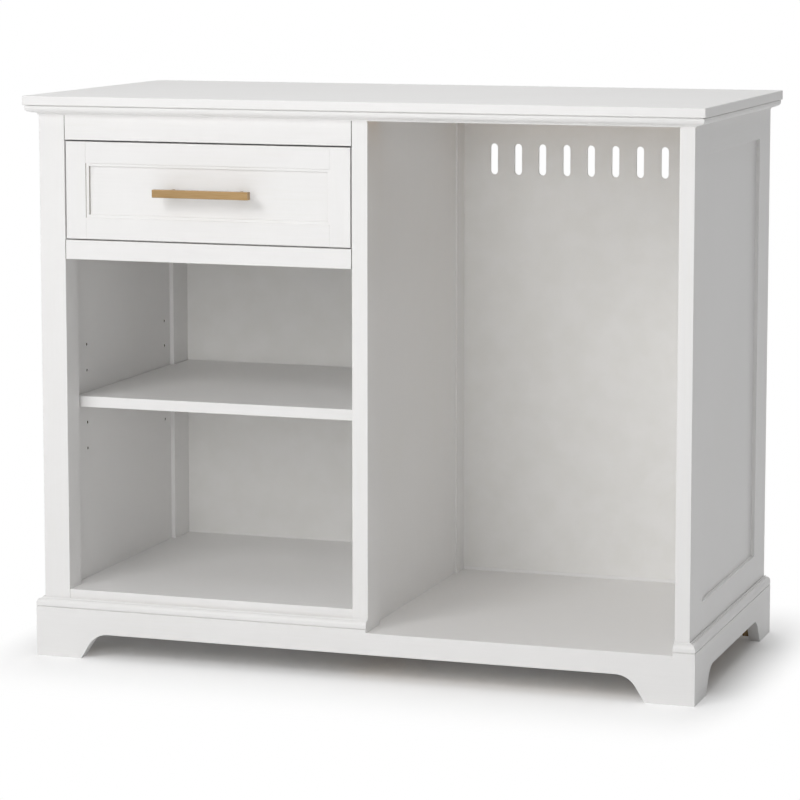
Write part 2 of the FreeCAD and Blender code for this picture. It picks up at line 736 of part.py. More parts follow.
NODES = {
    "top_slab": top_slab(),
    "crown_front": crown("front", (x_left, x_right)),
    "crown_left": crown("left", (0, y_back)),
    "crown_right": crown("right", (0, y_back)),
    "left_front_post": left_front_post(),
    "right_front_post": right_front_post(),
    "left_rear_post": rear_post(-1, LEFT_REAR_W),
    "right_rear_post": rear_post(1, RIGHT_POST_W),
    "left_side_top_rail": side_rail(-1, (z_side_high, z_under_top)),
    "left_side_bottom_rail": side_rail(-1, (PLINTH_H, z_side_low)),
    "right_side_top_rail": side_rail(1, (z_side_high, z_under_top)),
    "right_side_bottom_rail": side_rail(1, (PLINTH_H, z_side_low)),
    "left_side_panel": side_panel_box(-1, TONGUE_GAP),
    "right_side_panel": side_panel_box(1, TONGUE_GAP),
    "left_inner_panel": left_inner_panel(),
    "centre_stile": centre_stile(),
    "partition_panel": partition_panel(),
    "partition_rear_post": block((x_bay_r, x_mid_rear), (y_panel - MID_REAR_D, y_panel),
                                 (PLINTH_H, z_under_top)),
    "drawer_upper_rail": face_rail((z_open_top, z_under_top)),
    "drawer_lower_rail": face_rail((z_open_low - LOWER_RAIL_H, z_open_low)),
    "top_stretchers": top_stretchers(),
    "left_back_panel": back_panel((x_left + LEFT_REAR_W - BACK_LAND, (x_bay_r + x_mid_rear) / 2)),
    "vented_back_panel": vented_back_panel(),
    "plinth_front": plinth_front(),
    "plinth_left": plinth_side(-1),
    "plinth_right": plinth_side(1),
    "plinth_back": plinth_back(),
    "plinth_blocks": plinth_blocks(),
    "base_moulding_front": base_moulding("front", (x_left, x_mid_r)),
    "base_moulding_return": base_moulding("front", (x_right_in, x_right)),
    "base_moulding_left": base_moulding("left", (0, y_back)),
    "base_moulding_right": base_moulding("right", (0, y_back)),
    "left_deck": left_deck(),
    "deck_front_rail": deck_rail((0, FACE_RAIL_T)),
    "deck_rear_rail": deck_rail((y_panel - FACE_RAIL_T, y_panel)),
    "bay_floor": bay_floor(),
    "floor_bearers": floor_bearers(),
    "shelf_supports": shelf_supports(),
    "runner_packer": runner_packer(),
    "cabinet_runner_left": cabinet_runner(-1),
    "cabinet_runner_right": cabinet_runner(1),
    "adjustable_shelf": adjustable_shelf(),
    "drawer_front_left_stile": front_stile(-1),
    "drawer_front_right_stile": front_stile(1),
    "drawer_front_bottom_rail": front_rail(-1),
    "drawer_front_top_rail": front_rail(1),
    "drawer_front_panel": drawer_front_panel(),
    "drawer_box_left": box_side(-1),
    "drawer_box_right": box_side(1),
    "drawer_box_front": box_front(),
    "drawer_box_back": box_end((y_box_back - BOX_SIDE_T, y_box_back)),
    "drawer_bottom": bottom_box(TONGUE_GAP),
    "drawer_runner_left": drawer_runner(-1),
    "drawer_runner_right": drawer_runner(1),
    "front_rollers": rollers(y_front_roller),
    "rear_rollers": rollers(y_rear_roller),
    "handle_bar": handle_bar(),
    "handle_posts": handle_posts(),
    "handle_screws": handle_screws(),
}

# The finished part stands with its origin on the floor, in the middle of its outer box.
y_middle = (y_bar_front + y_back) / 2
for name, shape in NODES.items():
    shape.translate(Vector(0, -y_middle, 0))
    shape.exportStep(f"parts/{name}.step")
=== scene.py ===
import math

import bmesh
import bpy
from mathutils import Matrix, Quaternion, Vector


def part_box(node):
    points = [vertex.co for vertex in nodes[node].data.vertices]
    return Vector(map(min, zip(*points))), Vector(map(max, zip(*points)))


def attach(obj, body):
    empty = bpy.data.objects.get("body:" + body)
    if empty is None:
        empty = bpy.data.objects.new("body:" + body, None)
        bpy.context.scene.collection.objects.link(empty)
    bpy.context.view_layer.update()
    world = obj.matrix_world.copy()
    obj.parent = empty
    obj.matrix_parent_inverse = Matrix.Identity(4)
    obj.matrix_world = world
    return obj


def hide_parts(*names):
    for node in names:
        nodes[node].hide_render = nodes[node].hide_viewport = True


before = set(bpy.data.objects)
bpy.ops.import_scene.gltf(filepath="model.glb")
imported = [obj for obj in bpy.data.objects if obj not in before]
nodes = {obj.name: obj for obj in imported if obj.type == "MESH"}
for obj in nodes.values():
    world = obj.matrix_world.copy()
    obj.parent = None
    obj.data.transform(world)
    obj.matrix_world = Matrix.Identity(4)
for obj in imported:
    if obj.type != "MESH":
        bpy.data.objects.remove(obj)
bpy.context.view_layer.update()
bpy.ops.object.select_all(action="DESELECT")


# Plinth: four boards with bracket feet, the front corners mitred, glued up round blocks.
# Poplar, filled, sanded and sprayed with white satin lacquer, as is every board that shows.
# The lacquer gives a soft sheen, a faint orange peel and a hint of the grain below it.

def linear(hex_colour):
    """An sRGB hex colour as the linear one that shaders take."""
    parts = [int(hex_colour[i:i + 2], 16) / 255 for i in (1, 3, 5)]
    return [c / 12.92 if c <= 0.04045 else ((c + 0.055) / 1.055) ** 2.4 for c in parts] + [1.0]


def add(material, kind, links=(), **settings):
    """Adds a node: settings go to properties or input sockets, links are (input, socket or value)."""
    node = material.node_tree.nodes.new("ShaderNode" + kind)
    for name, value in settings.items():
        if hasattr(node, name):
            setattr(node, name, value)
        else:
            node.inputs[name.replace("_", " ")].default_value = value
    for name, source in links:
        if isinstance(source, bpy.types.NodeSocket):
            material.node_tree.links.new(node.inputs[name], source)
        else:
            node.inputs[name].default_value = source
    return node


def new_material(name):
    material = bpy.data.materials.new(name)
    material.use_nodes = True
    material.node_tree.nodes.clear()
    return material


def tones(ramp, *stops):
    """Sets a colour ramp to (position, hex colour) stops."""
    elements = ramp.color_ramp.elements
    while len(elements) < len(stops):
        elements.new(0.5)
    for element, (position, colour) in zip(elements, stops):
        element.position = position
        element.color = linear(colour)
    return ramp.outputs["Color"]


def per_metre(mm):
    """Noise scale that gives spots of about this size."""
    return 1000 / mm


def drawn_out(axis, length):
    """Mapping scale that draws a pattern out along one axis."""
    return [1 / length if i == axis else 1.0 for i in range(3)]


ACROSS, DEEP, UPRIGHT = 0, 1, 2      # the axis that a board's grain follows
LACQUER_LIGHT = "#F5F4F3"
LACQUER_MID = "#F4F3F2"
LACQUER_DARK = "#F3F2F0"
LACQUER_IOR = 1.47
DRIFT_SIZE = 260.0                   # mm, slow change of tone from coat to coat
PEEL_SIZE = 2.4                      # mm, orange peel left by the spray gun
POPLAR_LINE = 3.0                    # mm across a grain line
POPLAR_RUN = 90.0                    # mm along one


def white_lacquer(name, grain):
    """Satin lacquer on poplar: nearly even, with grain that shows as faint streaks."""
    m = new_material(name)
    place = add(m, "TexCoord").outputs["Object"]
    along = add(m, "Mapping", [("Vector", place)], Scale=drawn_out(grain, POPLAR_RUN / POPLAR_LINE))
    streaks = add(m, "TexNoise", [("Vector", along.outputs["Vector"])],
                  Scale=per_metre(POPLAR_LINE), Detail=3.0, Roughness=0.6)
    drift = add(m, "TexNoise", [("Vector", place)], Scale=per_metre(DRIFT_SIZE), Detail=2.0)
    both = add(m, "Math", [(0, streaks.outputs["Fac"]), (1, drift.outputs["Fac"])], operation="ADD")
    mean = add(m, "Math", [(0, both.outputs[0]), (1, 0.5)], operation="MULTIPLY")
    colour = add(m, "ValToRGB", [("Fac", mean.outputs[0])])
    tones(colour, (0.36, LACQUER_DARK), (0.47, LACQUER_MID), (0.58, LACQUER_LIGHT))
    peel = add(m, "TexNoise", [("Vector", place)], Scale=per_metre(PEEL_SIZE), Detail=1.0)
    sheen = add(m, "MapRange", [("Value", streaks.outputs["Fac"])],
                From_Min=0.3, From_Max=0.7, To_Min=0.38, To_Max=0.44)
    raised = add(m, "Bump", [("Height", streaks.outputs["Fac"])], Strength=0.01, Distance=0.0004)
    rippled = add(m, "Bump", [("Height", peel.outputs["Fac"]), ("Normal", raised.outputs["Normal"])],
                  Strength=0.10, Distance=0.0002)
    paint = add(m, "BsdfPrincipled", [("Base Color", colour.outputs["Color"]),
                                      ("Roughness", sheen.outputs["Result"]),
                                      ("Normal", rippled.outputs["Normal"])], IOR=LACQUER_IOR)
    add(m, "OutputMaterial", [("Surface", paint.outputs[0])])
    return m


lacquer = [white_lacquer("white_lacquer_across", ACROSS),
           white_lacquer("white_lacquer_deep", DEEP),
           white_lacquer("white_lacquer_upright", UPRIGHT)]


def dress(material, *names):
    """Gives solids of the frame their finish."""
    for name in names:
        slots = nodes[name].data.materials
        slots.clear()
        slots.append(material)


dress(lacquer[ACROSS], "plinth_front", "plinth_back")
dress(lacquer[DEEP], "plinth_left", "plinth_right")


# Glue blocks: four square pine posts inside the plinth corners, which carry the cabinet's posts.
# They and the other framing that nobody sees are planed pine, left bare.
# Pine shows warm bands of early and late wood, drawn out along the board, with a dry surface.

PINE_EARLY = "#DDBF90"
PINE_MID = "#D2AF7C"
PINE_LATE = "#B98F5C"
PINE_RING = 5.0                      # mm from one late-wood line to the next
PINE_RUN = 24.0                      # times longer along the grain
PINE_FIBRE = 0.9                     # mm
WAVE_PERIOD = 0.314                  # metres that one band of a wave at scale 1 takes


def bare_pine(name, grain):
    m = new_material(name)
    place = add(m, "TexCoord").outputs["Object"]
    along = add(m, "Mapping", [("Vector", place)], Scale=drawn_out(grain, PINE_RUN))
    rings = add(m, "TexWave", [("Vector", along.outputs["Vector"])], bands_direction="DIAGONAL",
                Scale=WAVE_PERIOD * 1000 / PINE_RING, Distortion=5.0, Detail=2.0, Detail_Scale=0.7)
    fibre = add(m, "TexNoise", [("Vector", along.outputs["Vector"])],
                Scale=per_metre(PINE_FIBRE), Detail=2.0)
    colour = add(m, "ValToRGB", [("Fac", rings.outputs["Fac"])])
    tones(colour, (0.10, PINE_EARLY), (0.62, PINE_MID), (0.95, PINE_LATE))
    dryness = add(m, "MapRange", [("Value", fibre.outputs["Fac"])], To_Min=0.60, To_Max=0.78)
    raised = add(m, "Bump", [("Height", fibre.outputs["Fac"])], Strength=0.25, Distance=0.0003)
    wood = add(m, "BsdfPrincipled", [("Base Color", colour.outputs["Color"]),
                                     ("Roughness", dryness.outputs["Result"]),
                                     ("Normal", raised.outputs["Normal"])], IOR=1.5)
    add(m, "OutputMaterial", [("Surface", wood.outputs[0])])
    return m


pine = [bare_pine("bare_pine_across", ACROSS),
        bare_pine("bare_pine_deep", DEEP),
        bare_pine("bare_pine_upright", UPRIGHT)]
dress(pine[UPRIGHT], "plinth_blocks")


# Floor of the appliance bay: a lacquered board let in behind the plinth front.
# It rests on a ring of four pine bearers, which are glued and pinned to the plinth.

dress(lacquer[ACROSS], "bay_floor")
dress(pine[ACROSS], "floor_bearers")


# Base moulding: a rounded strip on top of the plinth, mitred at the corners.
# It stops at the appliance bay and returns on the right post, and is lacquered with the rest.

dress(lacquer[ACROSS], "base_moulding_front", "base_moulding_return")
dress(lacquer[DEEP], "base_moulding_left", "base_moulding_right")


# Posts and the centre stile: square uprights that stand on the plinth, rebated for the back.
# Solid poplar with sanded edges, glued to the rails between them.
# The left front post and the centre stile get their finish, and the painted shade at their joints, with
# the drawer rails that meet them.

dress(lacquer[UPRIGHT], "right_front_post", "left_rear_post", "right_rear_post", "partition_rear_post")


# Framed sides: a top and a bottom rail between the posts, round a flat recessed panel.
# The panel floats in grooves, and rails and posts are glued, so fine joint lines show.

dress(lacquer[DEEP], "left_side_top_rail", "left_side_bottom_rail",
      "right_side_top_rail", "right_side_bottom_rail")
dress(lacquer[UPRIGHT], "left_side_panel", "right_side_panel")


# Lining board and partition: the two walls of the shelf bay, each with two columns of peg holes.
# Fibreboard, lacquered on both faces and glued between the front and the rear posts.
# The drilled holes cut into the bare core, which is brown and looks almost black in so small a hole.

CORE_COLOUR = "#5A4632"
FACE_SKIN = Vector((0.0005, 0, 0))   # metres of lacquer and pressed face over the core
MIX_A, MIX_B, MIX_RESULT = 6, 7, 2   # the Mix node's sockets for colours


def recolour_between(m, low, high, colour):
    """Shows a colour other than the lacquer's between two corners: the bare core where the coat is cut,
    and painted shade in the joint grooves and on the moulding walls.
    """
    place = add(m, "SeparateXYZ", [("Vector", add(m, "TexCoord").outputs["Object"])])
    inside = 1.0
    for axis, start, end in zip("XYZ", low, high):
        middle, reach = (start + end) / 2, (end - start) / 2
        within = add(m, "Math", [(0, place.outputs[axis]), (1, middle), (2, reach)], operation="COMPARE")
        inside = add(m, "Math", [(0, inside), (1, within.outputs[0])], operation="MULTIPLY").outputs[0]
    base = m.node_tree.nodes["Principled BSDF"].inputs["Base Color"]
    coat = base.links[0].from_socket
    mixed = add(m, "Mix", [("Factor", inside), (MIX_A, coat), (MIX_B, linear(colour))], data_type="RGBA")
    m.node_tree.links.new(base, mixed.outputs[MIX_RESULT])


for board in ("left_inner_panel", "partition_panel"):
    drilled = white_lacquer("lacquered_" + board, UPRIGHT)
    low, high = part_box(board)
    recolour_between(drilled, low + FACE_SKIN, high - FACE_SKIN, CORE_COLOUR)
    dress(drilled, board)


# Deck of the shelf bay: a lacquered board that is notched round the posts.
# It lies on a front and a rear rail of bare pine, which stand on the plinth.

dress(lacquer[ACROSS], "left_deck")
dress(pine[ACROSS], "deck_front_rail", "deck_rear_rail")


# Rails of the drawer opening, and the stretchers that the worktop is screwed to.
# The face rails are glued between the left post and the centre stile, and lacquered with them.
# The fine groove at each joint is painted a darker grey, as painted shade for the shadow in the joint;
# the stretchers are bare.

JOINT_SHADE_COLOUR = "#857F78"
JOINT_W = 0.0011                     # just covers the groove
JOINT_D = 0.0026
JOINT_SHADE_START = 0.0003                 # metres behind the face where the painted shade starts

uprights = {}
for post in ("left_front_post", "centre_stile"):
    uprights[post] = white_lacquer("lacquered_" + post, UPRIGHT)
    dress(uprights[post], post)
for rail in ("drawer_upper_rail", "drawer_lower_rail"):
    rail_lacquer_and_shade = white_lacquer("lacquered_" + rail, ACROSS)
    dress(rail_lacquer_and_shade, rail)
    low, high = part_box(rail)
    for x, post in ((low.x, "left_front_post"), (high.x, "centre_stile")):
        # painted shade: a darker grey in each joint's groove, on the rail's end and on the post's face
        # beside it
        for finish in (rail_lacquer_and_shade, uprights[post]):
            recolour_between(finish, (x - JOINT_W, low.y + JOINT_SHADE_START, low.z),
                  (x + JOINT_W, low.y + JOINT_D, high.z), JOINT_SHADE_COLOUR)
dress(pine[ACROSS], "top_stretchers")


# Back panels: two sheets of hardboard in the posts' rebates, one with a row of vent slots.
# Both faces are primed white, which leaves them flatter and more mottled than the sprayed boards.

PRIMER_LIGHT = "#F4F3F1"
PRIMER_DARK = "#F1F0ED"
MOTTLE_SIZE = 40.0                   # mm, where the board soaks up the primer unevenly
FELT_SIZE = 1.1                      # mm, felted fibres under the primer

primed = new_material("primed_hardboard")
place = add(primed, "TexCoord").outputs["Object"]
mottle = add(primed, "TexNoise", [("Vector", place)], Scale=per_metre(MOTTLE_SIZE), Detail=4.0)
felt = add(primed, "TexNoise", [("Vector", place)], Scale=per_metre(FELT_SIZE), Detail=2.0)
colour = add(primed, "ValToRGB", [("Fac", mottle.outputs["Fac"])])
tones(colour, (0.35, PRIMER_DARK), (0.65, PRIMER_LIGHT))
flatness = add(primed, "MapRange", [("Value", mottle.outputs["Fac"])], To_Min=0.55, To_Max=0.62)
raised = add(primed, "Bump", [("Height", felt.outputs["Fac"])], Strength=0.12, Distance=0.0002)
paint = add(primed, "BsdfPrincipled", [("Base Color", colour.outputs["Color"]),
                                       ("Roughness", flatness.outputs["Result"]),
                                       ("Normal", raised.outputs["Normal"])], IOR=LACQUER_IOR)
add(primed, "OutputMaterial", [("Surface", paint.outputs[0])])
dress(primed, "left_back_panel", "vented_back_panel")


# Screws of the back panels: pan heads with a cross recess, driven into posts and stretchers.
# Zinc-plated steel: a bluish grey metal, a little cloudy where the plating's crystals change.

ZINC_LIGHT = "#C9CCCF"
ZINC_DARK = "#A9ADB2"
ZINC_CLOUD = 1.6                     # mm

zinc = new_material("zinc_plated_steel")
place = add(zinc, "TexCoord").outputs["Object"]
cloud = add(zinc, "TexNoise", [("Vector", place)], Scale=per_metre(ZINC_CLOUD), Detail=3.0)
colour = add(zinc, "ValToRGB", [("Fac", cloud.outputs["Fac"])])
tones(colour, (0.3, ZINC_DARK), (0.7, ZINC_LIGHT))
polish = add(zinc, "MapRange", [("Value", cloud.outputs["Fac"])], To_Min=0.26, To_Max=0.42)
metal = add(zinc, "BsdfPrincipled", [("Base Color", colour.outputs["Color"]),
                                     ("Roughness", polish.outputs["Result"])], Metallic=1.0)
add(zinc, "OutputMaterial", [("Surface", metal.outputs[0])])


def choose(piece, kind, test):
    """In edit mode, selects the faces or edges (kind FACE or EDGE) that pass the test, and no others."""
    bpy.ops.mesh.select_mode(type=kind)
    bpy.ops.mesh.select_all(action="DESELECT")
    mesh = bmesh.from_edit_mesh(piece.data)
    for part in mesh.faces if kind == "FACE" else mesh.edges:
        if test(part):
            part.select_set(True)
    bmesh.update_edit_mesh(piece.data)


LEVEL = 0.99                         # a face counts as level when its normal's Z is past this
SMOOTH_ANGLE = math.radians(35)
HEAD_SIDES = 24
HEAD_ROUND = 0.6                     # share of the head's height that is rounded off
WING_W = 0.26                        # width of the recess's wings, as a share of the head's radius
WING_L = 0.4                         # and how far they reach out


def screw_head(radius, height, recess):
    """One head that points up, with its underside at the origin."""
    bpy.ops.object.select_all(action="DESELECT")
    bpy.ops.mesh.primitive_cylinder_add(vertices=HEAD_SIDES, radius=radius, depth=height,
                                        location=(0, 0, height / 2))
    head = bpy.context.object
    bpy.ops.object.mode_set(mode="EDIT")
    choose(head, "FACE", lambda face: face.normal.z > LEVEL)
    bpy.ops.mesh.bevel(offset=height * HEAD_ROUND, segments=4, affect="EDGES")
    bpy.ops.object.mode_set(mode="OBJECT")
    bpy.ops.object.transform_apply()
    bpy.ops.object.select_all(action="DESELECT")
    wing = radius * WING_W
    bpy.ops.mesh.primitive_cube_add(size=wing, location=(0, 0, height - recess + wing / 2))
    driver = bpy.context.object
    bpy.ops.object.mode_set(mode="EDIT")
    choose(driver, "FACE", lambda face: abs(face.normal.z) < 1 - LEVEL)
    bpy.ops.mesh.extrude_faces_move(TRANSFORM_OT_shrink_fatten={"value": radius * WING_L})
    choose(driver, "FACE", lambda face: face.normal.z > LEVEL)
    bpy.ops.mesh.extrude_region_move(TRANSFORM_OT_translate={"value": (0, 0, height)})
    bpy.ops.object.mode_set(mode="OBJECT")
    bpy.ops.object.select_all(action="DESELECT")
    head.select_set(True)
    bpy.context.view_layer.objects.active = head
    cut = head.modifiers.new("cross_recess", "BOOLEAN")
    cut.operation = "DIFFERENCE"
    cut.object = driver
    bpy.ops.object.modifier_apply(modifier=cut.name)
    bpy.data.objects.remove(driver)
    bpy.ops.object.shade_smooth_by_angle(angle=SMOOTH_ANGLE)
    return head


COPY_TURN = 52.0                     # degrees about its own axis from one copy to the next


def set_out(name, pattern, facing, places, material):
    """Copies of a pattern, each turned to look along facing and set in place, joined as one piece."""
    copies = []
    for i, spot in enumerate(places):
        copy = pattern.copy()
        copy.data = pattern.data.copy()
        bpy.context.scene.collection.objects.link(copy)
        turn = Quaternion((0, 0, 1), math.radians(COPY_TURN * i))
        copy.rotation_euler = (Vector(facing).to_track_quat("Z", "Y") @ turn).to_euler()
        copy.location = spot
        copies.append(copy)
    bpy.data.objects.remove(pattern)
    bpy.ops.object.select_all(action="DESELECT")
    for copy in copies:
        copy.select_set(True)
    bpy.context.view_layer.objects.active = copies[0]
    bpy.ops.object.join()
    bpy.ops.object.transform_apply()
    piece = bpy.context.object
    piece.name = name
    piece.data.name = name
    piece.data.materials.clear()
    piece.data.materials.append(material)
    return piece


def driven(name, head, facing, places, body):
    """Screws as one piece, which rides on the body they are driven into."""
    screws = set_out(name, head, facing, places, zinc)
    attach(screws, body)


def spread(low, high, count):
    """Evenly spaced places between two ends, both included."""
    return [low + (high - low) * i / (count - 1) for i in range(count)]


def between(low, high, count):
    """Evenly spaced places between two ends, both left out."""
    return spread(low, high, count + 2)[1:-1]


BACK_HEAD_R = 0.0036
BACK_HEAD_H = 0.0018
BACK_RECESS = 0.0012
BACK_EDGE = 0.006                    # screw line from a panel's outer edge
BACK_MEET = 0.0048                   # and from the edge where the two panels meet
BACK_END = 0.035                     # first and last screw of an upright line
BACK_ROWS = 5
BACK_ALONG_TOP = 2                   # screws into the stretcher, for each panel
left_low, left_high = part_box("left_back_panel")
vent_low, vent_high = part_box("vented_back_panel")
screw_lines = [left_low.x + BACK_EDGE, left_high.x - BACK_MEET,
               vent_low.x + BACK_MEET, vent_high.x - BACK_EDGE]
rows = spread(left_low.z + BACK_END, left_high.z - BACK_END, BACK_ROWS)
spots = [(x, left_high.y, z) for x in screw_lines for z in rows]
stretcher_line = left_high.z - BACK_EDGE
for low, high in ((left_low, left_high), (vent_low, vent_high)):
    spots += [(x, left_high.y, stretcher_line) for x in between(low.x, high.x, BACK_ALONG_TOP)]
head = screw_head(BACK_HEAD_R, BACK_HEAD_H, BACK_RECESS)
driven("back_panel_screws", head, (0, 1, 0), spots, "cabinet")


# Edging of the bay floor: a thin strip round the foot of the posts and the rail, which end just above.
# Cut from lacquered veneer, glued on last and sanded round along its top.

EDGING_T = 0.0008
EDGING_H = 0.0065
EDGING_ROUND = 0.0003


def edging_run(low, high):
    """One straight run of the strip, which stands on the bay floor."""
    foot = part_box("bay_floor")[1].z
    low, high = Vector((*low, foot)), Vector((*high, foot + EDGING_H))
    bpy.ops.object.select_all(action="DESELECT")
    bpy.ops.mesh.primitive_cube_add(size=1, location=(low + high) / 2, scale=high - low)
    run = bpy.context.object
    bpy.ops.object.transform_apply()
    bpy.ops.object.mode_set(mode="EDIT")
    choose(run, "EDGE", lambda edge: all(corner.co.z > foot + EDGING_H / 2 for corner in edge.verts))
    bpy.ops.mesh.bevel(offset=EDGING_ROUND, segments=3, affect="EDGES")
    bpy.ops.object.mode_set(mode="OBJECT")
    return run


front_foot, rail_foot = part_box("right_front_post"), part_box("right_side_bottom_rail")
rear_foot, middle_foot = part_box("right_rear_post"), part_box("partition_rear_post")
floor_front, floor_back = [corner.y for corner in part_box("bay_floor")]
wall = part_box("partition_panel")[1].x
edging_runs = [
    edging_run((front_foot[0].x - EDGING_T, floor_front), (front_foot[0].x, front_foot[1].y)),
    edging_run((rail_foot[0].x - EDGING_T, rail_foot[0].y), (rail_foot[0].x, rail_foot[1].y)),
    edging_run((rear_foot[0].x - EDGING_T, rear_foot[0].y), (rear_foot[0].x, floor_back)),
    edging_run((wall, middle_foot[0].y - EDGING_T), (middle_foot[1].x, middle_foot[0].y)),
    edging_run((middle_foot[1].x, middle_foot[0].y - EDGING_T),
               (middle_foot[1].x + EDGING_T, floor_back)),
]
bpy.ops.object.select_all(action="DESELECT")
for run in edging_runs:
    run.select_set(True)
bpy.ops.object.join()
edging = bpy.context.object
edging.name = "bay_floor_edging"
edging.data.name = "bay_floor_edging"
edging.data.materials.append(lacquer[DEEP])
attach(edging, "cabinet")


# Worktop and crown: a lacquered slab over a mitred moulding, a bead above a cove.
# The slab's edges are sanded round, and a fine groove parts it from the bead.

dress(lacquer[ACROSS], "top_slab", "crown_front")
dress(lacquer[DEEP], "crown_left", "crown_right")


# Screws of the worktop: driven up through the pine stretchers, their heads below.
# The same zinc-plated pan heads, a size larger.

TOP_HEAD_R = 0.0045
TOP_HEAD_H = 0.0022
TOP_RECESS = 0.0015
TOP_FROM_FRONT = 0.040
TOP_FROM_BACK = 0.030
TOP_IN_ROW = 3
stretch_low, stretch_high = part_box("top_stretchers")
bay_left, bay_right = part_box("centre_stile")[1].x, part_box("right_front_post")[0].x
spots = [(x, y, stretch_low.z) for x in between(bay_left, bay_right, TOP_IN_ROW)
         for y in (stretch_low.y + TOP_FROM_FRONT, stretch_high.y - TOP_FROM_BACK)]
head = screw_head(TOP_HEAD_R, TOP_HEAD_H, TOP_RECESS)
driven("worktop_screws", head, (0, 0, -1), spots, "cabinet")


# Shelf and its supports: a loose lacquered board on four pressed angles with pegs.
# The supports are zinc-plated steel, pushed into the walls' holes by hand.

dress(lacquer[ACROSS], "adjustable_shelf")
dress(zinc, "shelf_supports")


# Drawer slides: a pressed steel channel on each wall, and an angle under each side of the box.
# White epoxy enamel, baked on: smooth, a little glossy, with a fine ripple.
# A pine packer brings the left channel out to the edge of the opening.

ENAMEL_LIGHT = "#E9E9E5"
ENAMEL_DARK = "#E0E0DB"
ENAMEL_FLOW = 30.0                   # mm, uneven film
ENAMEL_RIPPLE = 1.8                  # mm

enamel = new_material("epoxy_enamel")
place = add(enamel, "TexCoord").outputs["Object"]
film = add(enamel, "TexNoise", [("Vector", place)], Scale=per_metre(ENAMEL_FLOW), Detail=2.0)
ripple = add(enamel, "TexNoise", [("Vector", place)], Scale=per_metre(ENAMEL_RIPPLE), Detail=1.0)
colour = add(enamel, "ValToRGB", [("Fac", film.outputs["Fac"])])
tones(colour, (0.35, ENAMEL_DARK), (0.65, ENAMEL_LIGHT))
gloss = add(enamel, "MapRange", [("Value", film.outputs["Fac"])], To_Min=0.24, To_Max=0.34)
rippled = add(enamel, "Bump", [("Height", ripple.outputs["Fac"])], Strength=0.10, Distance=0.0002)
coat = add(enamel, "BsdfPrincipled", [("Base Color", colour.outputs["Color"]),
                                      ("Roughness", gloss.outputs["Result"]),
                                      ("Normal", rippled.outputs["Normal"])], IOR=1.5)
add(enamel, "OutputMaterial", [("Surface", coat.outputs[0])])
dress(enamel, "cabinet_runner_left", "cabinet_runner_right",
      "drawer_runner_left", "drawer_runner_right")
dress(pine[DEEP], "runner_packer")


# Rollers of the slides: one pair at the mouth of the channels, one at the tail of the drawer.
# Moulded nylon with a rounded tread, a dished web and a hub, on axles riveted to the slides.
# Nylon is milky and lets a little light in; the tread is rubbed duller than the sides.

NYLON_LIGHT = "#E4E1D8"
NYLON_DARK = "#D6D2C6"
NYLON_SWIRL = 6.0                    # mm, flow of the moulding
ROLLER_SIDES = 40
ROLLER_W = 0.006
ROLLER_EDGE = 0.0007
RIM = 0.0018
DISH = 0.0008                        # how far the web lies below the rim
WEB = 0.0020
HUB_RISE = 0.0005                    # how far the hub stands above the web
HUB_WALL = 0.0014                    # leaves the axle its play

nylon = new_material("moulded_nylon")
place = add(nylon, "TexCoord").outputs["Object"]
swirl = add(nylon, "TexNoise", [("Vector", place)],
            Scale=per_metre(NYLON_SWIRL), Detail=2.0, Distortion=1.5)
colour = add(nylon, "ValToRGB", [("Fac", swirl.outputs["Fac"])])
tones(colour, (0.35, NYLON_DARK), (0.65, NYLON_LIGHT))
rub = add(nylon, "MapRange", [("Value", swirl.outputs["Fac"])], To_Min=0.36, To_Max=0.52)
plastic = add(nylon, "BsdfPrincipled", [("Base Color", colour.outputs["Color"]),
                                        ("Roughness", rub.outputs["Result"])],
              IOR=1.53, Subsurface_Weight=0.15, Subsurface_Scale=0.002)
add(nylon, "OutputMaterial", [("Surface", plastic.outputs[0])])


def turned_roller(radius):
    """One roller at the origin, with its axle along X."""
    bpy.ops.object.select_all(action="DESELECT")
    bpy.ops.mesh.primitive_cylinder_add(vertices=ROLLER_SIDES, radius=radius, depth=ROLLER_W)
    roller = bpy.context.object
    bpy.ops.object.mode_set(mode="EDIT")
    choose(roller, "FACE", lambda face: abs(face.normal.z) > LEVEL)
    bpy.ops.mesh.bevel(offset=ROLLER_EDGE, segments=3, affect="EDGES")
    choose(roller, "FACE", lambda face: abs(face.normal.z) > LEVEL)
    bpy.ops.mesh.inset(thickness=RIM, use_individual=True)
    bpy.ops.mesh.extrude_faces_move(TRANSFORM_OT_shrink_fatten={"value": -DISH})
    bpy.ops.mesh.inset(thickness=WEB, use_individual=True)
    bpy.ops.mesh.extrude_faces_move(TRANSFORM_OT_shrink_fatten={"value": HUB_RISE})
    bpy.ops.mesh.inset(thickness=HUB_WALL, use_individual=True)
    bpy.ops.mesh.delete(type="FACE")
    choose(roller, "EDGE", lambda edge: edge.is_boundary)
    bpy.ops.mesh.bridge_edge_loops()
    bpy.ops.mesh.select_all(action="SELECT")
    bpy.ops.mesh.normals_make_consistent(inside=False)
    bpy.ops.object.mode_set(mode="OBJECT")
    bpy.ops.object.shade_smooth_by_angle(angle=SMOOTH_ANGLE)
    return roller


for name in ("front_rollers", "rear_rollers"):
    low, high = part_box(name)
    lanes = (low.x + ROLLER_W / 2, high.x - ROLLER_W / 2)
    axle = (low + high) / 2
    piece = set_out("nylon_" + name, turned_roller(axle.z - low.z), (1, 0, 0),
                    [(x, axle.y, axle.z) for x in lanes], nylon)
    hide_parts(name)
    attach(piece, name)


# Screws of the slides: countersunk, so that their heads lie almost flush in the steel.
# Three in each channel, into the walls, and three in each angle, into the sides of the box.

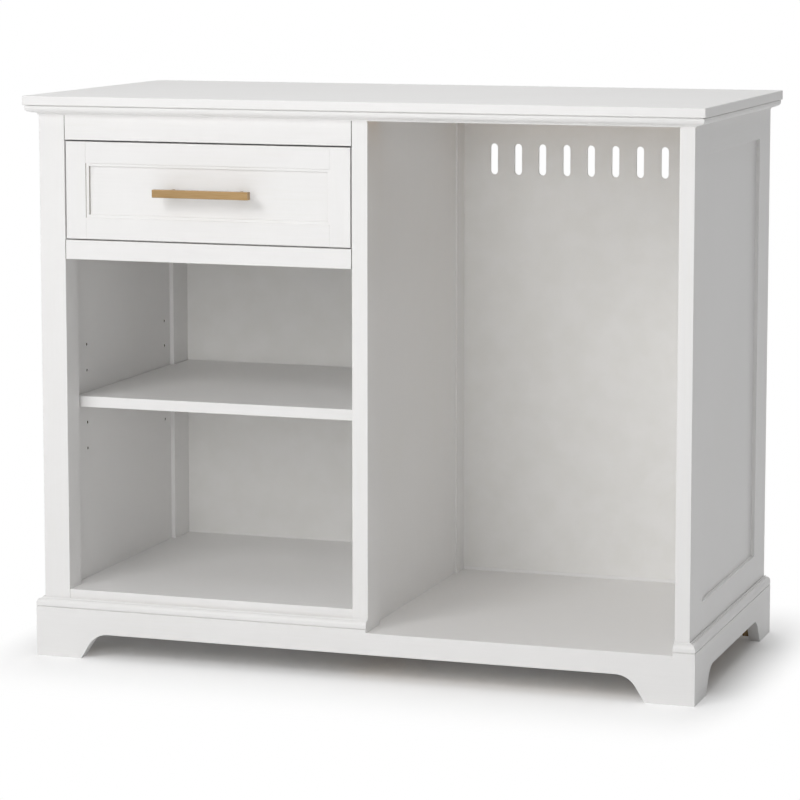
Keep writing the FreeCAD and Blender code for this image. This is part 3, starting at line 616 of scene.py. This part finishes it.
SLIDE_HEAD_R = 0.0032
SLIDE_PROUD = 0.0004
SLIDE_RECESS = 0.0003
SLIDE_SHEET = 0.0012                 # thickness of the steel
SLIDE_END = 0.060                    # first and last screw of a line
SLIDE_IN_LINE = 3
roller_low, roller_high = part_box("front_rollers")
axle_line = (roller_low.z + roller_high.z) / 2
for hand, side in ((-1, "left"), (1, "right")):
    low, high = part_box("cabinet_runner_" + side)
    face = low.x + SLIDE_SHEET if hand < 0 else high.x - SLIDE_SHEET
    spots = [(face, y, axle_line) for y in spread(low.y + SLIDE_END, high.y - SLIDE_END, SLIDE_IN_LINE)]
    head = screw_head(SLIDE_HEAD_R, SLIDE_PROUD, SLIDE_RECESS)
    driven("channel_screws_" + side, head, (-hand, 0, 0), spots, "cabinet")
    low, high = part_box("drawer_box_" + side)
    face = low.x - SLIDE_SHEET if hand < 0 else high.x + SLIDE_SHEET
    spots = [(face, y, axle_line) for y in spread(low.y + SLIDE_END, high.y - SLIDE_END, SLIDE_IN_LINE)]
    head = screw_head(SLIDE_HEAD_R, SLIDE_PROUD, SLIDE_RECESS)
    driven("angle_screws_" + side, head, (hand, 0, 0), spots, "drawer")


# Drawer box: four boards glued and dowelled at the corners, with a thinner sheet in grooves below.
# Chipboard faced with white melamine, its edges banded in the same white.
# The resin is pressed against a plate, which leaves a fine pearl texture and a dull sheen.

MELAMINE_LIGHT = "#F3F2F1"
MELAMINE_DARK = "#F1F0EE"
PRESS_SIZE = 90.0                    # mm, uneven pressing
PEARL_SIZE = 1.3                     # mm

melamine = new_material("white_melamine")
place = add(melamine, "TexCoord").outputs["Object"]
press = add(melamine, "TexNoise", [("Vector", place)], Scale=per_metre(PRESS_SIZE), Detail=2.0)
pearl = add(melamine, "TexNoise", [("Vector", place)], Scale=per_metre(PEARL_SIZE), Detail=1.0)
colour = add(melamine, "ValToRGB", [("Fac", press.outputs["Fac"])])
tones(colour, (0.35, MELAMINE_DARK), (0.65, MELAMINE_LIGHT))
dullness = add(melamine, "MapRange", [("Value", pearl.outputs["Fac"])], To_Min=0.40, To_Max=0.52)
pressed = add(melamine, "Bump", [("Height", pearl.outputs["Fac"])], Strength=0.15, Distance=0.0002)
facing = add(melamine, "BsdfPrincipled", [("Base Color", colour.outputs["Color"]),
                                          ("Roughness", dullness.outputs["Result"]),
                                          ("Normal", pressed.outputs["Normal"])], IOR=1.5)
add(melamine, "OutputMaterial", [("Surface", facing.outputs[0])])
dress(melamine, "drawer_box_left", "drawer_box_right", "drawer_box_front", "drawer_box_back",
      "drawer_bottom")


# Screws of the drawer front: four pan heads inside the box, through its front board.
# They draw the framed front against the box; their holes have room to set it square.

FRONT_HEAD_R = 0.0042
FRONT_HEAD_H = 0.0020
FRONT_RECESS = 0.0014
FRONT_FROM_END = 0.060
FRONT_FROM_EDGE = 0.032
low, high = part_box("drawer_box_front")
spots = [(x, high.y, z) for x in (low.x + FRONT_FROM_END, high.x - FRONT_FROM_END)
         for z in (low.z + FRONT_FROM_EDGE, high.z - FRONT_FROM_EDGE)]
head = screw_head(FRONT_HEAD_R, FRONT_HEAD_H, FRONT_RECESS)
driven("drawer_front_screws", head, (0, 1, 0), spots, "drawer")


# Drawer front: two stiles and two rails with a moulded inner edge, round a flat panel.
# Cope-and-stick joints, sanded and lacquered, so that a fine line stays at each joint.
# The two steep walls of the stiles' moulding are painted a greyer tone, as painted shade; the rails'
# walls are left white.

MOULDING_SHADE_COLOUR = "#BAB6B0"
MOULDING_W = 0.006                   # just covers the moulded edge
MOULDING_WALLS = ((0.0003, 0.0022), (0.0028, 0.0075))   # metres behind the face

dress(lacquer[ACROSS], "drawer_front_bottom_rail", "drawer_front_top_rail", "drawer_front_panel")
for stile in ("drawer_front_left_stile", "drawer_front_right_stile"):
    stile_lacquer_and_shade = white_lacquer("lacquered_" + stile, UPRIGHT)
    dress(stile_lacquer_and_shade, stile)
    low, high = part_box(stile)
    inner = high.x if "left" in stile else low.x
    # painted shade: a greyer tone on the walls of this stile's moulding
    for near, far in MOULDING_WALLS:
        recolour_between(stile_lacquer_and_shade, (inner - MOULDING_W, low.y + near, low.z),
              (inner + MOULDING_W, low.y + far, high.z), MOULDING_SHADE_COLOUR)


# Handle: a square brass bar on two round posts, held by screws from inside the drawer.
# Satin brass: brushed along the bar and clear coated, so it is warm and only softly bright.

BRASS_LIGHT = "#AA906C"
BRASS_MID = "#A0845E"
BRASS_DARK = "#93774F"
BRUSH_LINE = 0.5                     # mm; real lines are near 0.05 mm, drawn coarser to show
BRUSH_RUN = 40.0                     # mm along one

brass = new_material("brushed_brass")
place = add(brass, "TexCoord").outputs["Object"]
along = add(brass, "Mapping", [("Vector", place)], Scale=drawn_out(ACROSS, BRUSH_RUN / BRUSH_LINE))
brush = add(brass, "TexNoise", [("Vector", along.outputs["Vector"])],
            Scale=per_metre(BRUSH_LINE), Detail=3.0, Roughness=0.6)
colour = add(brass, "ValToRGB", [("Fac", brush.outputs["Fac"])])
tones(colour, (0.30, BRASS_DARK), (0.50, BRASS_MID), (0.70, BRASS_LIGHT))
satin = add(brass, "MapRange", [("Value", brush.outputs["Fac"])], To_Min=0.30, To_Max=0.44)
scored = add(brass, "Bump", [("Height", brush.outputs["Fac"])], Strength=0.20, Distance=0.0001)
metal = add(brass, "BsdfPrincipled", [("Base Color", colour.outputs["Color"]),
                                      ("Roughness", satin.outputs["Result"]),
                                      ("Normal", scored.outputs["Normal"])], Metallic=1.0)
add(brass, "OutputMaterial", [("Surface", metal.outputs[0])])
dress(brass, "handle_bar", "handle_posts")
dress(zinc, "handle_screws")


# Camera: a long lens a little above the worktop, off to the right, so that the right side shows too.
# The frame is shifted down, which keeps the uprights almost parallel.

CAMERA_PLACE = (1.6282, -4.8882, 1.1791)
CAMERA_YAW = 18.564
CAMERA_PITCH = -7.044
CAMERA_LENS = 142.51                 # mm, for the sensor below
CAMERA_SENSOR = 36.0                 # mm
CAMERA_SHIFT = -0.1
camera = bpy.data.objects.new("camera", bpy.data.cameras.new("camera"))
bpy.context.scene.collection.objects.link(camera)
camera.location = CAMERA_PLACE
camera.rotation_euler = (math.radians(90 + CAMERA_PITCH), 0, math.radians(CAMERA_YAW))
camera.data.lens = CAMERA_LENS
camera.data.sensor_width = CAMERA_SENSOR
camera.data.shift_y = CAMERA_SHIFT
bpy.context.scene.camera = camera


# Studio floor: matt white paper that keeps the shadow near the cabinet.
# Further out the camera, and what mirrors it, sees it go over into plain white.

FLOOR_SIZE = 30.0
PAPER = "#F4F4F4"
PAPER_SHOWN = 1.16                   # the camera sees the paper lighter than it lights the cabinet
FADE_FROM = (0.54, 0.15, 1)          # metres from the middle where the paper starts to go white
FADE_OVER = (0.12, 0.38, 1)          # metres that this takes, at the sides and in front


def seen_rays(material):
    """One for camera, glossy and transmission rays, zero for light that is scattered."""
    path = add(material, "LightPath")
    seen = path.outputs["Is Camera Ray"]
    for kind in ("Is Glossy Ray", "Is Transmission Ray"):
        seen = add(material, "Math", [(0, seen), (1, path.outputs[kind])], operation="MAXIMUM").outputs[0]
    return seen


bpy.ops.mesh.primitive_plane_add(size=FLOOR_SIZE)
floor = bpy.context.object
floor.name = "studio_floor"
paper = new_material("white_paper")
place = add(paper, "TexCoord").outputs["Object"]
out = add(paper, "VectorMath", [(0, place)], operation="ABSOLUTE")
out = add(paper, "VectorMath", [(0, out.outputs[0]), (1, FADE_FROM)], operation="SUBTRACT")
out = add(paper, "VectorMath", [(0, out.outputs[0]), (1, (0, 0, 0))], operation="MAXIMUM")
out = add(paper, "VectorMath", [(0, out.outputs[0]), (1, FADE_OVER)], operation="DIVIDE")
out = add(paper, "VectorMath", [(0, out.outputs[0])], operation="LENGTH")
fade = add(paper, "MapRange", [("Value", out.outputs["Value"])], interpolation_type="SMOOTHSTEP")
lighting = add(paper, "BsdfDiffuse", Color=linear(PAPER))
shown = add(paper, "BsdfDiffuse", Color=(PAPER_SHOWN, PAPER_SHOWN, PAPER_SHOWN, 1))
white = add(paper, "Emission", Color=(1, 1, 1, 1))
seen = add(paper, "MixShader", [("Fac", fade.outputs[0]), (1, shown.outputs[0]), (2, white.outputs[0])])
mixed = add(paper, "MixShader", [("Fac", seen_rays(paper)),
                                 (1, lighting.outputs[0]), (2, seen.outputs[0])])
add(paper, "OutputMaterial", [("Surface", mixed.outputs[0])])
floor.data.materials.append(paper)


# Studio light: a soft key from the front left, a low fill, an overhead box, a rear fill, an even room.
# Only the overhead box grazes the right side, which stays grey, with a little more light on its ledges.
# Camera and metal see a white backdrop, which metal mirrors dimmer at the front right.

AIM = Vector((0, 0, 0.45))
LAMP_DISTANCE = 3.2
ROOM_LEVEL = 0.26
DIM_WAY = (0.8, -0.6, 0)
DIM_FROM, DIM_FULL = 0.2, 0.9        # cosines to that way between which the backdrop goes dim
DIM_LEVEL = 0.12

world = bpy.data.worlds.new("studio")
bpy.context.scene.world = world
world.use_nodes = True
world.node_tree.nodes.clear()
way = add(world, "TexCoord").outputs["Generated"]
dimmer = add(world, "VectorMath", [(0, way), (1, DIM_WAY)], operation="DOT_PRODUCT")
mirrored = add(world, "MapRange", [("Value", dimmer.outputs["Value"])], interpolation_type="SMOOTHSTEP",
               From_Min=DIM_FROM, From_Max=DIM_FULL, To_Min=1.0, To_Max=DIM_LEVEL)
glossy = add(world, "LightPath").outputs["Is Glossy Ray"]
level = add(world, "Mix", [("Factor", glossy), ("B", mirrored.outputs["Result"])], A=1.0)
room = add(world, "Background", Color=(ROOM_LEVEL, ROOM_LEVEL, ROOM_LEVEL, 1))
backdrop = add(world, "Background", [("Strength", level.outputs["Result"])], Color=(1, 1, 1, 1))
sky = add(world, "MixShader", [("Fac", seen_rays(world)),
                               (1, room.outputs[0]), (2, backdrop.outputs[0])])
add(world, "OutputWorld", [("Surface", sky.outputs[0])])


def soft_box(name, azimuth, elevation, size, level):
    """A square lamp that aims at the cabinet; level is what white facing it would render at."""
    az, el = math.radians(azimuth), math.radians(elevation)
    way = Vector((math.sin(az) * math.cos(el), -math.cos(az) * math.cos(el), math.sin(el)))
    lamp = bpy.data.objects.new(name, bpy.data.lights.new(name, "AREA"))
    bpy.context.scene.collection.objects.link(lamp)
    lamp.data.size = size
    lamp.data.energy = level * math.pi ** 2 * LAMP_DISTANCE ** 2
    lamp.location = AIM + way * LAMP_DISTANCE
    lamp.rotation_euler = way.to_track_quat("Z", "Y").to_euler()
    return lamp


soft_box("key_light", azimuth=-22, elevation=32, size=1.0, level=0.22)
soft_box("low_fill", azimuth=0, elevation=10, size=1.4, level=0.24)
soft_box("overhead", azimuth=60, elevation=76, size=2.3, level=0.235)
rear_fill = soft_box("rear_fill", azimuth=-155, elevation=12, size=1.8, level=0.34)
rear_fill.visible_glossy = False     # the worktop would mirror it as a white glare


# View: the colours show as they are written, under the plain view transform.

bpy.context.scene.view_settings.view_transform = "Standard"
